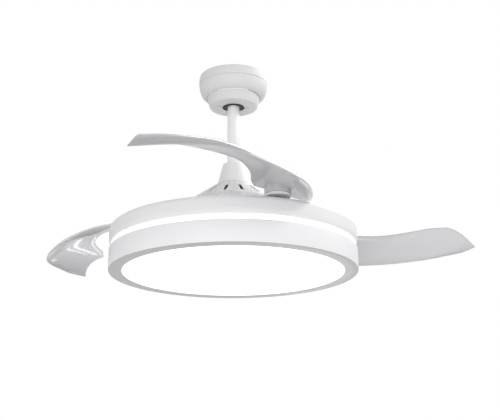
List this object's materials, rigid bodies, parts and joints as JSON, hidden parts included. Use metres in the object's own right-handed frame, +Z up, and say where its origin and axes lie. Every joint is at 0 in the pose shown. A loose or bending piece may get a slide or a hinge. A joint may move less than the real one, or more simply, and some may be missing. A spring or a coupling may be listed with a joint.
{
  "type": "retractable blade ceiling fan",
  "caption": "Ceiling fan on a straight rod with folding blades over a round light drum, which has a glowing side band and a wide diffuser below.",
  "frame": {"origin": "middle of the hanging bracket's face that lies on the ceiling", "axes": "+Z points up into the ceiling, and the rod and the rotor turn about Z; -Y points to the side that the picture shows"},
  "size_m": [0.9489, 0.9071, 0.427],
  "materials": {
    "white_paint": "satin white paint",
    "white_plastic": "satin white plastic",
    "ring_plastic": "gloss white with a faint lilac cast",
    "blade_plastic": "gloss, slightly see-through grey",
    "diffuser_plastic": "opal white, lit from inside",
    "rubber": "matt black",
    "steel": "zinc plated",
    "cast_aluminium": "as cast",
    "painted_aluminium": "white paint on cast aluminium",
    "laminations": "stacked sheet steel",
    "magnet": "matt dark grey",
    "copper": "enamelled copper wire"
  },
  "bodies": {
    "ceiling_mount": {"hanging_bracket": "steel", "ceiling_screw_1": "steel", "ceiling_screw_2": "steel", "canopy_band": "white_paint", "canopy_bowl": "white_paint", "canopy_lower_ring": "white_paint", "canopy_screw_1": "steel", "canopy_screw_2": "steel"},
    "hanging": {"hanger_ball": "rubber", "ball_cross_pin": "steel", "downrod": "white_paint", "motor_yoke": "cast_aluminium", "clevis_pin": "steel", "cotter_pin": "steel", "set_screw": "steel", "coupling_cover": "white_plastic", "vented_cover": "white_paint", "motor_shaft": "steel", "stator_core": "laminations", "stator_winding": "copper", "upper_housing": "white_plastic", "light_band": "diffuser_plastic", "lower_ring": "ring_plastic", "diffuser": "diffuser_plastic", "diffuser_clip_1": "steel", "diffuser_clip_2": "steel", "diffuser_clip_3": "steel", "light_frame": "cast_aluminium", "shaft_nut": "steel", "led_tray": "painted_aluminium", "led_board": "painted_aluminium", "band_led_strip": "white_plastic", "led_driver": "white_plastic", "remote_receiver": "white_plastic"},
    "rotor": {"rotor_lower_shell": "cast_aluminium", "rotor_upper_shell": "painted_aluminium", "magnet_ring": "magnet", "lower_bearing": "steel", "upper_bearing": "steel", "blade_carrier": "painted_aluminium", "carrier_screw_1": "steel", "carrier_screw_2": "steel", "carrier_screw_3": "steel", "pivot_post_1": "steel", "pivot_post_2": "steel", "pivot_post_3": "steel", "pivot_cap_1": "white_plastic", "pivot_cap_2": "white_plastic", "pivot_cap_3": "white_plastic"},
    "sync": {"sync_disc": "steel"},
    "link_1": {"link_rod_1": "steel"},
    "link_2": {"link_rod_2": "steel"},
    "link_3": {"link_rod_3": "steel"},
    "folding_blade_1": {"blade_1": "blade_plastic", "return_spring_1": "steel"},
    "folding_blade_2": {"blade_2": "blade_plastic", "return_spring_2": "steel"},
    "folding_blade_3": {"blade_3": "blade_plastic", "return_spring_3": "steel"}
  },
  "joints": [
    {"name": "swing", "type": "hinge", "parent": "ceiling_mount", "child": "hanging", "pos_m": [0, 0, -0.05], "axis": [1, 0, 0], "range_deg": [-8, 8]},
    {"name": "spin", "type": "hinge", "parent": "hanging", "child": "rotor", "pos_m": [0, 0, -0.3], "axis": [0, 0, 1], "continuous": true},
    {"name": "fold_1", "type": "hinge", "parent": "rotor", "child": "folding_blade_1", "pos_m": [0.08499, -0.1964, -0.315], "axis": [0, 0, 1], "range_deg": [-84, 0]},
    {"name": "fold_2", "type": "hinge", "parent": "rotor", "child": "folding_blade_2", "pos_m": [0.12759, 0.1718, -0.315], "axis": [0, 0, 1], "range_deg": [-84, 0]},
    {"name": "fold_3", "type": "hinge", "parent": "rotor", "child": "folding_blade_3", "pos_m": [-0.21258, 0.0246, -0.315], "axis": [0, 0, 1], "range_deg": [-84, 0]},
    {"name": "sync_turn", "type": "hinge", "parent": "rotor", "child": "sync", "pos_m": [0, 0, -0.318], "axis": [0, 0, 1], "range_deg": [-84, 0]},
    {"name": "link_pin_1", "type": "hinge", "parent": "sync", "child": "link_1", "pos_m": [0.00708, 0.01546, -0.3217], "axis": [0, 0, 1], "range_deg": [0, 84]},
    {"name": "link_pin_2", "type": "hinge", "parent": "sync", "child": "link_2", "pos_m": [-0.01692, -0.0016, -0.3217], "axis": [0, 0, 1], "range_deg": [0, 84]},
    {"name": "link_pin_3", "type": "hinge", "parent": "sync", "child": "link_3", "pos_m": [0.00985, -0.01386, -0.3217], "axis": [0, 0, 1], "range_deg": [0, 84]}
  ],
  "couplings": [
    {"joint": "fold_2", "follows": "fold_1", "ratio": 1},
    {"joint": "fold_3", "follows": "fold_1", "ratio": 1},
    {"joint": "sync_turn", "follows": "fold_1", "ratio": 1},
    {"joint": "link_pin_1", "follows": "fold_1", "ratio": -1},
    {"joint": "link_pin_2", "follows": "fold_1", "ratio": -1},
    {"joint": "link_pin_3", "follows": "fold_1", "ratio": -1}
  ]
}
